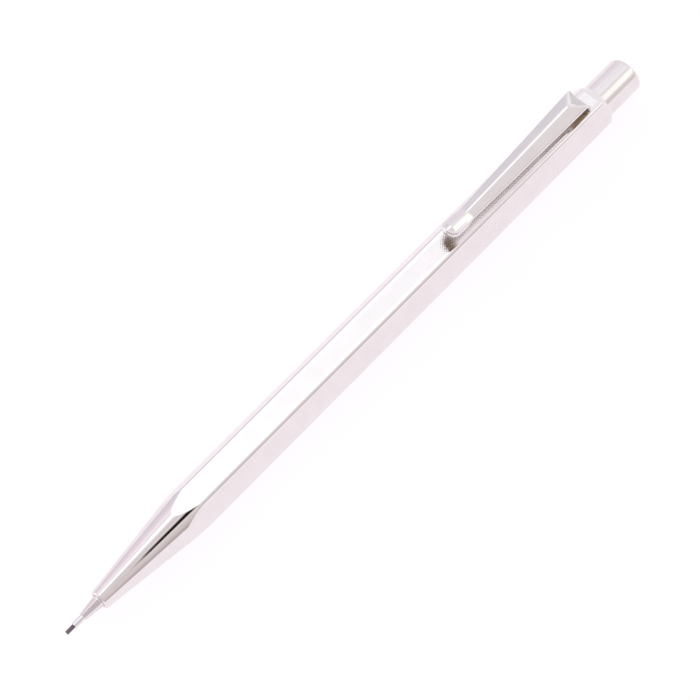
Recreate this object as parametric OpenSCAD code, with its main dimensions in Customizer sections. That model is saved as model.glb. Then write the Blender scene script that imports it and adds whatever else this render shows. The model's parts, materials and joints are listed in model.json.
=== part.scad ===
// Push-button mechanical pencil with a hexagonal metal barrel, a sprung pocket clip
// and a three-jaw chuck that feeds a thin lead.
// The pencil lies along X on one of its flats: the lead points to -X, the button to +X
// and the clip is on top. Places along the pencil are measured from the lead's tip.

/* [Overall] */
// Length from the lead's tip to the button's end
total_len = 135.7; // [110:0.1:165]
// Barrel width across its flats
barrel_af = 7.65; // [6.3:0.05:9.3]
// Diameter of the lead
lead_d = 0.7; // [0.5:0.1:0.8]
// How far the button is pressed
stroke = 3; // [2:0.1:3.6]

/* [Barrel] */
// Wall of the barrel at the middle of a flat
barrel_wall = 0.5; // [0.4:0.05:0.7]
// Rounding of the barrel's six long edges
edge_r = 0.8; // [0.3:0.05:1.2]
// Outside diameter at the open end of the nose
nose_d = 3.52; // [3.3:0.02:4.3]
// Slope of the nose cone, radius gained for each length
nose_slope = 0.118; // [0.09:0.001:0.14]
// Least wall of the nose cone around its stepped bores
nose_wall = 0.35; // [0.25:0.05:0.5]
// Rounding of the nose's end edge
nose_round = 0.28; // [0.1:0.02:0.4]
// Length of the turned chamfer at the rear end
rear_chamfer_len = 1; // [0.5:0.1:1.6]
// Radial depth of that chamfer, measured from the rounded edges
rear_chamfer_depth = 0.67; // [0.4:0.01:0.75]
// Distance from the foot of the nose cone to the shoulder that seats the mechanism
shoulder_setback = 3; // [2:0.5:6]

/* [Tip] */
// Lead showing in front of the guide sleeve
lead_out = 1.6; // [0.5:0.1:2.5]
// Guide sleeve showing in front of the cone
sleeve_out = 2.05; // [1:0.05:4]
// Wall of the guide sleeve
sleeve_wall = 0.14; // [0.1:0.01:0.2]
// Length of the guide sleeve inside the cone
sleeve_in = 3.5; // [2:0.1:3.5]
// Diameter of the cone at its small end
cone_small_d = 1.35; // [1.3:0.05:1.8]
// Diameter of the cone at the barrel
cone_large_d = 2.36; // [2.2:0.02:2.6]
// Length of the cone outside the barrel
cone_len = 3.6; // [3:0.1:6]
// Diameter of the cone's body inside the nose
tip_body_d = 3.15; // [3:0.05:3.4]
// Outside diameter of the rubber lead retainer
retainer_d = 1.9; // [1.6:0.1:2]
// Length of the rubber lead retainer
retainer_len = 1.6; // [1:0.1:2.2]
// Diameter of the room that the chuck opens in
chuck_room_d = 2.6; // [2.5:0.05:2.7]

/* [Chuck] */
// Wall of the chuck's shank
shank_wall = 0.3; // [0.2:0.05:0.35]
// How far the chuck's head stands out around its shank
head_rise = 0.26; // [0.2:0.02:0.3]
// Length of the chuck's cylindrical head
head_len = 1.2; // [0.8:0.1:1.6]
// Length of the chuck's taper
taper_len = 2; // [1.5:0.1:3]
// Width of the three slits between the jaws
slit_w = 0.22; // [0.15:0.01:0.3]
// Part of the stroke that the chuck and its ring feed the lead together
feed_share = 0.3; // [0.2:0.05:0.4]
// Length of the chuck ring
ring_len = 3; // [2.4:0.1:4]
// Outside diameter of the chuck ring
ring_d = 3.2; // [3:0.05:3.2]

/* [Mechanism] */
// Outside diameter of the housing around the chuck ring
housing_front_d = 4.1; // [4:0.05:4.2]
// Outside diameter of the housing around the spring
housing_rear_d = 4.5; // [4.3:0.05:4.6]
// Inside diameter of the spring room
spring_room_d = 3.5; // [3.5:0.05:3.6]
// Thickness of the partition that the ring and the spring rest on
partition_t = 1.2; // [0.8:0.1:1.6]
// Thickness of the housing's flange
flange_t = 1.5; // [1:0.1:2.5]
// Length of the slotted nut behind the flange
nut_len = 3; // [2:0.5:5]
// Wire of the return spring
spring_wire = 0.3; // [0.2:0.02:0.34]
// Length of the return spring at rest
spring_len = 7.8; // [7:0.1:10]
// Turns of the return spring
spring_turns = 9; // [6:1:11]
// Outside diameter of the lead tube
tube_d = 3.2; // [3.1:0.05:3.3]
// Wall of the lead tube
tube_wall = 0.3; // [0.2:0.05:0.35]
// Length of each plastic tube guide
guide_len = 6; // [3:0.5:10]
// Length of a new lead
lead_len = 60; // [50:1:65]
// Number of spare leads in the tube
spare_count = 3; // [1:1:5]

/* [Button] */
// Button showing behind the barrel
button_out = 8.2; // [6.5:0.1:11]
// Button inside the barrel at rest
button_in = 3; // [2:0.1:5]
// Wall of the button
button_wall = 0.42; // [0.35:0.01:0.5]
// Thickness of the button's end
button_end_t = 0.7; // [0.5:0.1:1]
// Rounding of the button's end
button_round = 0.9; // [0.5:0.05:0.95]
// Wall of the plastic liner in the button
liner_wall = 0.27; // [0.2:0.01:0.35]
// Length that the liner grips on the collar
grip_len = 4.5; // [3:0.1:5.5]
// Wall of the collar around the eraser holder
collar_wall = 0.4; // [0.3:0.05:0.5]
// Wall of the eraser holder
holder_wall = 0.2; // [0.15:0.01:0.25]
// Length of the eraser holder
holder_len = 7; // [6:0.1:8]
// Length of the eraser
eraser_len = 8.6; // [7:0.1:9]

/* [Clip] */
// Distance from the clip's root to the barrel's end
clip_setback = 3; // [1.4:0.1:4]
// Length of the clip along the barrel
clip_len = 35; // [30:0.1:45]
// Thickness of the clip's sheet
clip_t = 0.55; // [0.4:0.05:0.7]
// Height of the clip's ridge over the flat, at the hip
hip_ridge_h = 4.45; // [4:0.05:5.2]
// Height of the clip's side edges over the flat, at the hip
hip_edge_h = 3.75; // [3:0.05:3.9]
// Distance from the clip's root to its hip at the side edges
hip_edge_u = 1.3; // [1.1:0.1:2.4]
// Distance from the clip's root to its hip at the ridge
hip_ridge_u = 4; // [3.4:0.1:5]
// Half width of the clip at the hip
hip_half_w = 2.25; // [1.8:0.05:2.6]
// Height of the clip's ridge over the flat, at the neck
neck_ridge_h = 3.05; // [2.8:0.05:3.4]
// Height of the clip's side edges over the flat, at the neck
neck_edge_h = 2.5; // [2.3:0.05:2.7]
// Half width of the clip at the neck
neck_half_w = 1.45; // [1:0.05:1.6]
// Length of the paddle, from its end to the neck
paddle_len = 5.6; // [4.6:0.1:7]
// Half width of the paddle
paddle_half_w = 1.75; // [1.5:0.05:2]
// How far the paddle's end curls up
paddle_curl = 0.45; // [0:0.05:0.8]
// Height of the paddle's rounded ridge over its side edges
paddle_crown = 0.8; // [0.6:0.05:1]
// Rounding of the paddle's end
paddle_round = 1.6; // [1:0.1:2]
// Width of the tongue that holds the clip in the barrel
tongue_w = 2.4; // [1.6:0.1:2.8]
// Length of that tongue along the barrel
tongue_len = 0.7; // [0.5:0.05:1]

/* [Clearances] */
// Radial clearance of a piece that slides in another
run_gap = 0.05; // [0.03:0.01:0.08]
// Clearance of a piece that is seated or pressed in its neighbour
seat_gap = 0.02; // [0.01:0.005:0.03]
// Clearance at the end of a travel
stop_gap = 0.1; // [0.05:0.01:0.2]
// Radial clearance of the lead in its guide sleeve
lead_gap = 0.03; // [0.02:0.005:0.05]
// Radial clearance of the lead in the closed jaws
jaw_gap = 0.015; // [0.01:0.001:0.02]
// Radial room around the lead in the cone behind its sleeve
cone_bore_gap = 0.08; // [0.05:0.01:0.1]
// Radial room around the lead in the chuck's shank
shank_bore_gap = 0.15; // [0.1:0.01:0.2]

/* [Hidden] */
$fn = 64;
TINY = 0.01;

// Barrel
axis_z = barrel_af / 2;
bore_r = barrel_af / 2 - barrel_wall;
nose_s = lead_out + sleeve_out + cone_len;
barrel_end = total_len - button_out;
flat_w = (barrel_af - 2 * edge_r) / sqrt(3);
corner_x = flat_w + edge_r;
// Where the nose is thick enough for a bore of radius r
function nose_at(r) = nose_s + (r + nose_wall - nose_d / 2) / nose_slope;

// Tip and chuck, from the seat in the nose backwards
sleeve_r = lead_d / 2 + lead_gap + sleeve_wall;
cone_bore_r = lead_d / 2 + cone_bore_gap;
cone_rim = 0.25;
tip_bore_r = tip_body_d / 2 + run_gap;
front_wall = 0.6;
seat_s = max(nose_at(tip_bore_r), nose_s + front_wall, nose_s - cone_len + sleeve_in);
retainer_s = seat_s + stop_gap;
chuck_room_s = retainer_s + retainer_len;
head_s = chuck_room_s + stroke + 2 * stop_gap;
shank_bore_r = lead_d / 2 + shank_bore_gap;
jaw_bore_r = lead_d / 2 + jaw_gap;
shank_r = shank_bore_r + shank_wall;
head_r = shank_r + head_rise;
taper_s = head_s + head_len;
ring_s = taper_s + taper_len * 0.45;
mouth_end = taper_s + taper_len * 0.8;
ring_edge = 0.2;
feed = stroke * feed_share;
tip_body_end = ring_s - feed - run_gap;
partition_s = ring_s + ring_len + seat_gap;
spring_s = partition_s + partition_t + seat_gap;
slit_past_partition = 1.5;
slit_end = spring_s + slit_past_partition;

// Housing and what drives the chuck
housing_front_r = housing_front_d / 2;
housing_rear_r = housing_rear_d / 2;
housing_s = nose_at(housing_front_r + run_gap) + seat_gap;
housing_step = 0.5;
housing_step_s = partition_s - housing_step;
partition_bore_r = shank_r + 3 * run_gap;
shoulder_s = nose_at(bore_r) + shoulder_setback;
flange_s = shoulder_s + seat_gap;
nut_s = flange_s + flange_t + seat_gap;
housing_past = 1;
housing_end = max(nut_s + nut_len, spring_s + spring_len + stroke) + housing_past;
connector_s = spring_s + spring_len + seat_gap;
connector_r = spring_room_d / 2 - run_gap;
connector_len = 3.5;
connector_neck = 1.5;
tube_r = tube_d / 2;
tube_in_r = tube_r - tube_wall;
tube_s = connector_s + connector_len + connector_neck;
spigot_len = 3;
shank_in_neck = 0.5;
shank_end = connector_s + connector_len + shank_in_neck;
funnel_lip = 0.2;
funnel_s = 0.5;

// Button, collar and eraser, from the barrel's end
button_s = barrel_end - button_in;
button_r = bore_r - run_gap;
button_in_r = button_r - button_wall;
liner_r = button_in_r - seat_gap;
liner_in_r = liner_r - liner_wall;
collar_r = liner_in_r - run_gap;
holder_r = collar_r - collar_wall - run_gap;
eraser_r = holder_r - holder_wall - seat_gap;
collar_flange_t = 0.8;
collar_flange_r = bore_r - 3 * run_gap;
liner_step = 0.4;
collar_flange_s = button_s - liner_step - collar_flange_t;
collar_edge = 0.2;
collar_skirt = 4;
liner_s = collar_flange_s + collar_flange_t + seat_gap;
collar_end = liner_s + grip_len;
collar_s = collar_flange_s - collar_skirt;
tube_end = collar_flange_s;
tube_stop_t = 0.3;
holder_s = tube_end + tube_stop_t;
holder_floor = 0.6;
eraser_round = 0.5;
liner_short = 3;
liner_end = total_len - button_end_t - liner_short;
rear_guide_s = collar_s - stroke - stop_gap - guide_len;
front_guide_s = (tube_s + rear_guide_s) / 2;
spare_s = tube_s + spigot_len + 1;

// Clip: its end wall rises to the hip, and its ridge starts further on than its edges
clip_root = barrel_end - clip_setback;
hip_crown = hip_ridge_h - hip_edge_h;
hip_trail = (hip_ridge_u - hip_edge_u) / hip_crown;
wall_lean = atan2(hip_edge_h, hip_edge_u);
neck_u = clip_len - paddle_len;
neck_crown = neck_ridge_h - neck_edge_h;
tongue_u = 0.12;

BRIGHT = "gainsboro";
STEEL = "silver";
BRASS = "goldenrod";

// ---- Shared construction ----

// Puts what is drawn along +Z from the lead's tip onto the pencil's axis, its -X side up
module on_axis() {
    translate([-total_len / 2, 0, axis_z]) rotate([0, 90, 0]) children();
}

// A turned solid from its half section, given as [radius, place along the pencil]
module turned(section) {
    on_axis() rotate_extrude() polygon(section);
}

// A round bore between two places
module bored(r, from, to) {
    on_axis() translate([0, 0, from]) cylinder(r = r, h = to - from);
}

// A ring with one outer and one inner radius
module tube_piece(outer, inner, from, to) {
    turned([[inner, from], [outer, from], [outer, to], [inner, to]]);
}

// Points of a quarter circle about centre c, from angle a0 to a1
function arc(c, r, a0, a1, steps = 6) =
    [for (i = [0:steps]) c + r * [cos(a0 + (a1 - a0) * i / steps), sin(a0 + (a1 - a0) * i / steps)]];

// ---- Barrel ----

// Hexagon with its six corners rounded to tangent arcs
module rounded_hexagon() {
    rotate(30) circle(r = flat_w, $fn = 6);
    for (a = [0, 60, 120]) rotate(a) square([barrel_af, flat_w], center = true);
    for (a = [0:60:300]) rotate(a + 30) translate([flat_w, 0]) circle(r = edge_r);
}

// Everything that the lathe leaves: nose cone, rounded nose edge and rear chamfer
module turned_envelope() {
    big_r = corner_x + 1;
    big_s = nose_s + (big_r - nose_d / 2) / nose_slope;
    chamfer_k = rear_chamfer_depth / rear_chamfer_len;
    nose_edge = arc([nose_d / 2 - nose_round, nose_s + nose_round], nose_round, -90, 0);
    rotate_extrude() polygon(concat(
        [[0, nose_s]],
        nose_edge,
        [[big_r, big_s],
         [big_r, barrel_end - rear_chamfer_len - (big_r - corner_x) / chamfer_k],
         [corner_x - rear_chamfer_depth, barrel_end],
         [0, barrel_end]]
    ));
}

module barrel() color(BRIGHT) difference() {
    on_axis() intersection() {
        translate([0, 0, nose_s]) linear_extrude(barrel_end - nose_s) rounded_hexagon();
        turned_envelope();
    }
    bored(cone_large_d / 2 + run_gap, nose_s - 1, seat_s + TINY);
    bored(tip_bore_r, seat_s, housing_s);
    bored(housing_front_r + run_gap, housing_s - seat_gap, housing_step_s);
    bored(housing_rear_r + run_gap, housing_step_s - TINY, shoulder_s + TINY);
    bored(bore_r, shoulder_s, barrel_end + 1);
    clip_slot();
}

// Slot through the top flat for the clip's tongue
module clip_slot() {
    gap = 3 * seat_gap;
    slot_l = tongue_len + 2 * gap;
    slot_w = tongue_w + 2 * gap;
    slot_s = clip_root - tongue_u - tongue_len - gap;
    translate([slot_s - total_len / 2, -slot_w / 2, axis_z + bore_r * 0.8])
        cube([slot_l, slot_w, barrel_af]);
}

// ---- Tip ----

module tip_cone() color(BRIGHT) turned(concat(
    [[sleeve_r + seat_gap, nose_s - cone_len],
     [cone_small_d / 2, nose_s - cone_len],
     [cone_large_d / 2, nose_s - cone_rim],
     [cone_large_d / 2, seat_s + stop_gap / 2],
     [tip_body_d / 2, seat_s + stop_gap / 2],
     [tip_body_d / 2, tip_body_end],
     [chuck_room_d / 2, tip_body_end],
     [chuck_room_d / 2, chuck_room_s],
     [retainer_d / 2 + seat_gap, chuck_room_s],
     [retainer_d / 2 + seat_gap, retainer_s],
     [cone_bore_r, retainer_s],
     [cone_bore_r, nose_s - cone_len + sleeve_in],
     [sleeve_r + seat_gap, nose_s - cone_len + sleeve_in]]
));

module lead_sleeve() color(STEEL)
    tube_piece(sleeve_r, sleeve_r - sleeve_wall, lead_out, lead_out + sleeve_out + sleeve_in - seat_gap);

module lead_retainer() color("dimgray")
    tube_piece(retainer_d / 2, lead_d / 2 + seat_gap, retainer_s + seat_gap, chuck_room_s - seat_gap);

// Lead in use, with the broken edge of a lead that has been written with
module lead() color("dimgray") {
    edge = lead_d * 0.07;
    turned([[0, 0], [lead_d / 2 - edge, 0], [lead_d / 2, edge], [lead_d / 2, lead_len], [0, lead_len]]);
}

// ---- Chuck ----

// Radius of the chuck's taper at a place along it
function taper_r(s) = head_r - head_rise * (s - taper_s) / taper_len;

module chuck() color(BRASS) difference() {
    turned([
        [jaw_bore_r, head_s],
        [head_r - ring_edge, head_s],
        [head_r, head_s + ring_edge],
        [head_r, taper_s],
        [shank_r, taper_s + taper_len],
        [shank_r, shank_end],
        [shank_bore_r, shank_end],
        [shank_bore_r, taper_s + taper_len],
        [jaw_bore_r, taper_s + taper_len]
    ]);
    for (a = [0, 120, 240]) on_axis() rotate(a)
        translate([0, -slit_w / 2, head_s - 1]) cube([head_r + 1, slit_w, slit_end - head_s + 1]);
}

// Ring with a tapered mouth that closes the jaws on the lead
module chuck_ring() color(BRASS) {
    inner = taper_r(mouth_end) + run_gap;
    turned([
        [taper_r(ring_s) + run_gap, ring_s],
        [ring_d / 2 - ring_edge, ring_s],
        [ring_d / 2, ring_s + ring_edge],
        [ring_d / 2, ring_s + ring_len],
        [inner, ring_s + ring_len],
        [inner, mouth_end]
    ]);
}

module chuck_housing() color(STEEL) turned([
    [tip_body_d / 2 + seat_gap, housing_s],
    [housing_front_r, housing_s],
    [housing_front_r, housing_step_s + seat_gap],
    [housing_rear_r, housing_step_s + seat_gap],
    [housing_rear_r, flange_s],
    [bore_r - seat_gap, flange_s],
    [bore_r - seat_gap, flange_s + flange_t],
    [housing_rear_r, flange_s + flange_t],
    [housing_rear_r, housing_end],
    [spring_room_d / 2, housing_end],
    [spring_room_d / 2, spring_s - seat_gap],
    [partition_bore_r, spring_s - seat_gap],
    [partition_bore_r, partition_s],
    [ring_d / 2 + run_gap, partition_s],
    [ring_d / 2 + run_gap, tip_body_end + seat_gap],
    [tip_body_d / 2 + seat_gap, tip_body_end + seat_gap]
]);

// Nut that clamps the housing on the barrel's shoulder, with two slots for its key
module housing_nut() color(BRASS) difference() {
    slot_w = 1;
    slot_depth = nut_len / 3;
    tube_piece(bore_r - seat_gap, housing_rear_r + seat_gap, nut_s, nut_s + nut_len);
    on_axis() translate([-bore_r, -slot_w / 2, nut_s + nut_len - slot_depth])
        cube([2 * bore_r, slot_w, slot_depth + 1]);
}

// ---- Return spring ----

// Closed last turns and an open middle: the share of the length at turn t
function coil_rise(t) =
    let (closed = spring_wire * 1.05, open = spring_turns - 2)
    t < 1 ? closed * t
    : t < spring_turns - 1 ? closed + (spring_len - spring_wire - 2 * closed) * (t - 1) / open
    : spring_len - spring_wire - closed * (spring_turns - t);

module return_spring() color(STEEL) {
    per_turn = 12;
    sides = 6;
    mid_r = connector_r - run_gap - spring_wire / 2;
    wire_r = spring_wire / 2;
    rings = spring_turns * per_turn;
    points = [for (i = [0:rings], k = [0:sides - 1])
        let (
            t = i / per_turn,
            a = 360 * t,
            b = 360 * k / sides,
            r = mid_r + wire_r * cos(b),
            h = spring_s + wire_r + coil_rise(t) + wire_r * sin(b)
        )
        [r * cos(a), r * sin(a), h]];
    walls = [for (i = [0:rings - 1], k = [0:sides - 1])
        let (n = (k + 1) % sides, p = i * sides, q = p + sides)
        each [[p + k, q + k, q + n], [p + k, q + n, p + n]]];
    ends = [
        [for (k = [0:sides - 1]) k],
        [for (k = [sides - 1:-1:0]) rings * sides + k]
    ];
    on_axis() polyhedron(points, concat(walls, ends));
}

// ---- Connector, lead tube and guides ----

// Joins the chuck to the lead tube, with a funnel that leads the next lead into the chuck
module chuck_connector() color("whitesmoke") turned([
    [shank_r + seat_gap, connector_s],
    [connector_r, connector_s],
    [connector_r, connector_s + connector_len],
    [tube_r, connector_s + connector_len],
    [tube_r, tube_s - seat_gap],
    [tube_in_r - seat_gap, tube_s - seat_gap],
    [tube_in_r - seat_gap, tube_s + spigot_len],
    [tube_in_r - funnel_lip, tube_s + spigot_len],
    [shank_bore_r, tube_s + funnel_s],
    [shank_bore_r, shank_end + seat_gap],
    [shank_r + seat_gap, shank_end + seat_gap]
]);

module lead_tube() color(BRASS) tube_piece(tube_r, tube_in_r, tube_s, tube_end);

// Plastic bush with shallow flutes that keeps the lead tube in the middle of the barrel
module tube_guide(from) difference() {
    flute_r = 0.7;
    flute_depth = 0.5;
    tube_piece(bore_r - seat_gap, tube_r + run_gap, from, from + guide_len);
    for (a = [30:60:330]) on_axis() rotate(a)
        translate([bore_r + flute_r - flute_depth, 0, from - 1]) cylinder(r = flute_r, h = guide_len + 2);
}

module front_tube_guide() color("whitesmoke") tube_guide(front_guide_s);

module rear_tube_guide() color("whitesmoke") tube_guide(rear_guide_s);

// Spare leads lying side by side in the bottom of the tube
module spare_leads() color("dimgray") {
    lie_r = tube_in_r - lead_d / 2 - seat_gap;
    step = 2 * asin((lead_d + 2 * seat_gap) / 2 / lie_r);
    for (i = [0:spare_count - 1]) on_axis() rotate((i - (spare_count - 1) / 2) * step)
        translate([lie_r, 0, spare_s]) cylinder(d = lead_d, h = lead_len);
}

// ---- Button end ----

// Collar on the lead tube: the button is pushed over it and the eraser holder sits in it
module tube_collar() color(BRASS) turned([
    [tube_r + seat_gap, collar_s],
    [collar_r - collar_edge, collar_s],
    [collar_r, collar_s + collar_edge],
    [collar_r, collar_flange_s],
    [collar_flange_r, collar_flange_s],
    [collar_flange_r, collar_flange_s + collar_flange_t],
    [collar_r, collar_flange_s + collar_flange_t],
    [collar_r, collar_end - collar_edge],
    [collar_r - collar_edge, collar_end],
    [holder_r + run_gap, collar_end],
    [holder_r + run_gap, holder_s - seat_gap],
    [tube_in_r, holder_s - seat_gap],
    [tube_in_r, tube_end + seat_gap],
    [tube_r + seat_gap, tube_end + seat_gap]
]);

module eraser_holder() color(STEEL) turned([
    [0, holder_s],
    [holder_r, holder_s],
    [holder_r, holder_s + holder_len],
    [holder_r - holder_wall, holder_s + holder_len],
    [holder_r - holder_wall, holder_s + holder_floor],
    [0, holder_s + holder_floor]
]);

module eraser() color("white") {
    from = holder_s + holder_floor + seat_gap;
    worn = arc([eraser_r - eraser_round, from + eraser_len - eraser_round], eraser_round, 0, 90);
    turned(concat([[0, from], [eraser_r, from]], worn, [[0, from + eraser_len]]));
}

module button_cap() color(BRIGHT) {
    corner = arc([button_r - button_round, total_len - button_round], button_round, 0, 90);
    inside_end = total_len - button_end_t;
    inside_r = button_round - button_wall;
    inner_corner = arc([button_in_r - inside_r, inside_end - inside_r], inside_r, 90, 0);
    turned(concat(
        [[button_in_r, button_s], [button_r, button_s]],
        corner,
        [[0, total_len], [0, inside_end]],
        inner_corner
    ));
}

module cap_liner() color("whitesmoke")
    tube_piece(liner_r, liner_in_r, liner_s, liner_end);

// ---- Clip ----

// Roof-like section: 1 on the ridge and 0 at the side edges, with a rounded ridge
function roof(v) = 1 - (sqrt(v * v + 0.01) - 0.1) / (sqrt(1.01) - 0.1);

// Smooth step from 0 to 1
function ease(t) = let (c = max(0, min(1, t))) c * c * (3 - 2 * c);

// Half width of the paddle's rounded end
function paddle_w(u) =
    let (d = max(0, min(1, (clip_len - u) / paddle_round)))
    paddle_half_w * pow(1 - pow(1 - d, 2.4), 1 / 2.4);

// Stations along the clip: distance from the root, edge height, height of the ridge over
// the edges, half width, lean of the sheet's wall and how far the ridge trails the edges
function clip_stations() =
    let (below = 0.88, past = 0.3, steps = 14)
    concat(
        [[0, 0, 0, flat_w / 2, 90, 0],
         [hip_edge_u * below, hip_edge_h * below, hip_crown * below, hip_half_w, wall_lean - 6, hip_trail],
         [hip_edge_u + past, hip_edge_h, hip_crown, hip_half_w, wall_lean / 2.4, hip_trail],
         [hip_edge_u + 3 * past, hip_edge_h - TINY, hip_crown, hip_half_w - TINY, 4, hip_trail * 0.85],
         [neck_u, neck_edge_h, neck_crown, neck_half_w, 0, 0]],
        [for (i = [1:steps])
            let (
                k = sin(90 * i / steps),
                u = neck_u + k * (paddle_len - 0.02),
                flare = ease(k * 2.2),
                curl = paddle_curl * pow(k, 3),
                to_end = 1 - min(1, (clip_len - u) / 2),
                crown = neck_crown + (paddle_crown - neck_crown) * ease((k - 0.08) / 0.4),
                wide = neck_half_w + (paddle_half_w - neck_half_w) * flare
            )
            [u, neck_edge_h + curl, crown * sqrt(1 - to_end * to_end), min(wide, paddle_w(u)), 0, 0]]
    );

// A place on the sheet's outer side as [distance from the root, y, height over the flat]
function clip_outer(st, v) =
    let (u = st[0] + st[2] * roof(v) * st[5], y = v * st[3])
    [u, y, st[1] + st[2] * roof(v)];

// The same place on the inner side; the foot is cut level with the flat
function clip_inner(st, v) =
    clip_outer(st, v) + (st[4] == 90 ? [clip_t / sin(wall_lean), 0, 0] : clip_t * [sin(st[4]), 0, -cos(st[4])]);

// Sheet between its outer and inner side, as rows of points across the clip
module clip_sheet() {
    half = 7;
    across = [for (j = [-half:half]) j / half];
    n = len(across);
    stations = clip_stations();
    m = len(stations);
    place = function (p) [clip_root - total_len / 2 - p[0], p[1], barrel_af + seat_gap + p[2]];
    outer = [for (st = stations, v = across) place(clip_outer(st, v))];
    inner = [for (st = stations, v = across) place(clip_inner(st, v))];
    o = m * n;
    last = (m - 1) * n;
    quads = concat(
        [for (i = [0:n:last - 1], j = [i:i + n - 2]) [j, j + n, j + n + 1, j + 1]],
        [for (i = [0:n:last - 1], j = [i + o:i + o + n - 2]) [j, j + 1, j + n + 1, j + n]],
        [for (i = [0:n:last - 1]) [i, o + i, o + i + n, i + n]],
        [for (i = [n - 1:n:last - 1]) [i, i + n, o + i + n, o + i]],
        [for (j = [0:n - 2]) [j, j + 1, o + j + 1, o + j]],
        [for (j = [last:last + n - 2]) [j, o + j, o + j + 1, j + 1]]
    );
    polyhedron(concat(outer, inner), [for (q = quads) each [[q[0], q[1], q[2]], [q[0], q[2], q[3]]]]);
}

module clip_tongue() {
    depth = barrel_wall - run_gap;
    root = 2 * seat_gap;
    translate([clip_root - total_len / 2 - tongue_u - tongue_len, -tongue_w / 2, barrel_af - depth])
        cube([tongue_len, tongue_w, depth + root]);
}

module clip() color(BRIGHT) {
    clip_sheet();
    clip_tongue();
}

barrel();
clip();
tip_cone();
lead_sleeve();
lead_retainer();
lead();
chuck();
chuck_ring();
chuck_housing();
housing_nut();
return_spring();
chuck_connector();
lead_tube();
front_tube_guide();
rear_tube_guide();
spare_leads();
tube_collar();
eraser_holder();
eraser();
button_cap();
cap_liner();
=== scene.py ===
import json
import math

import bmesh
import bpy
import numpy as np
from mathutils import Matrix, Vector

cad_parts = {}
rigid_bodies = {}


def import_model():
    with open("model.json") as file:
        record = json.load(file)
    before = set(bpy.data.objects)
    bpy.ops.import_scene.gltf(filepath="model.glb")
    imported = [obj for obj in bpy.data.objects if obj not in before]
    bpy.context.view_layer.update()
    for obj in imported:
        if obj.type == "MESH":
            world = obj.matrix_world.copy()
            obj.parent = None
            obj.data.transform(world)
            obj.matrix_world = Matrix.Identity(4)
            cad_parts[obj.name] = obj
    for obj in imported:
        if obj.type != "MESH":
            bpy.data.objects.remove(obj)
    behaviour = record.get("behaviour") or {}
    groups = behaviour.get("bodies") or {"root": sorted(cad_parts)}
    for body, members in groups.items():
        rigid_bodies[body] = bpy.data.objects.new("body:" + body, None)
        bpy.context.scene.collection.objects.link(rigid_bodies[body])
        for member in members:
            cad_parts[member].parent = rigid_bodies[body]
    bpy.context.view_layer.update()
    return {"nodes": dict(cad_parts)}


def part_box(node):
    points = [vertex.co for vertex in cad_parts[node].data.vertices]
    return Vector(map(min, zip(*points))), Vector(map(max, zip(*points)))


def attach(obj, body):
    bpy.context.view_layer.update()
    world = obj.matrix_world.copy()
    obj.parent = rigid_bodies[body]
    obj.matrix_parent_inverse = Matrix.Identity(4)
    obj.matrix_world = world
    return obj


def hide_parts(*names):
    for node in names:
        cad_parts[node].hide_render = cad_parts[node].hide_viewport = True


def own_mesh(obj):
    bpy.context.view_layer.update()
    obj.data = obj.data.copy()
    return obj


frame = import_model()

MM = 0.001

# ---- Sizes in millimetres; places along the pencil are measured from the lead's tip ----

LEAD_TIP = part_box("lead")[0].x / MM
AXIS_Z = (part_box("barrel")[0].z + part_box("barrel")[1].z) / 2 / MM


def span(node):
    """First and last place of a node along the pencil, and its radius."""
    lo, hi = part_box(node)
    return lo.x / MM - LEAD_TIP, hi.x / MM - LEAD_TIP, (hi.z - lo.z) / 2 / MM


NOSE, BARREL_END, HALF_FLATS = span("barrel")
ACROSS_FLATS = 2 * HALF_FLATS
EDGE_R = 0.8                 # rounding of the barrel's long edges
WALL = 0.5
BORE_R = HALF_FLATS - WALL
FLAT_W = (ACROSS_FLATS - 2 * EDGE_R) / math.sqrt(3)
CORNER_R = FLAT_W + EDGE_R
NOSE_R = 1.76                # outside radius at the open end of the nose
NOSE_SLOPE = 0.118
NOSE_ROUND = 0.28
REAR_CHAMFER = (1.0, 0.67)   # length and depth
RUN_GAP = 0.05
SEAT_GAP = 0.02
SMALL_EDGE = 0.03            # rounding of small turned edges


# ---- Materials ----

def new_material(name):
    material = bpy.data.materials.new(name)
    material.use_nodes = True
    return material, material.node_tree, material.node_tree.nodes["Principled BSDF"]


def add_node(tree, kind, inputs=None, **settings):
    node = tree.nodes.new(kind)
    for key, value in settings.items():
        setattr(node, key, value)
    for key, value in (inputs or {}).items():
        if isinstance(value, bpy.types.NodeSocket):
            tree.links.new(value, node.inputs[key])
        else:
            node.inputs[key].default_value = value
    return node


def grain(tree, per_mm, detail=3.0):
    """Noise on the piece's own coordinates, as finer or coarser along each axis per millimetre."""
    place = add_node(tree, "ShaderNodeTexCoord").outputs["Object"]
    scaled = add_node(tree, "ShaderNodeMapping", {"Vector": place, "Scale": tuple(1000 * k for k in per_mm)})
    return add_node(tree, "ShaderNodeTexNoise", {"Vector": scaled.outputs["Vector"], "Scale": 1.0, "Detail": detail,
                                                 "Roughness": 0.55}).outputs["Fac"]


def spread(tree, value, low, high, out_low, out_high):
    return add_node(tree, "ShaderNodeMapRange", {"Value": value, "From Min": low, "From Max": high,
                                                 "To Min": out_low, "To Max": out_high}).outputs["Result"]


def blend_colours(tree, factor, first, second):
    """A mix of two colours, each given as three shares or as another node's colour."""
    mix = add_node(tree, "ShaderNodeMix", data_type="RGBA")
    tree.links.new(factor, mix.inputs["Factor"])
    for side, colour in (("A", first), ("B", second)):
        if isinstance(colour, bpy.types.NodeSocket):
            tree.links.new(colour, mix.inputs[side])
        else:
            mix.inputs[side].default_value = (*colour, 1)
    return mix.outputs["Result"]


PATCHES = (0.35, 0.35, 0.35)    # colour patches to the millimetre
BUMP_HEIGHT = 0.004


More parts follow.
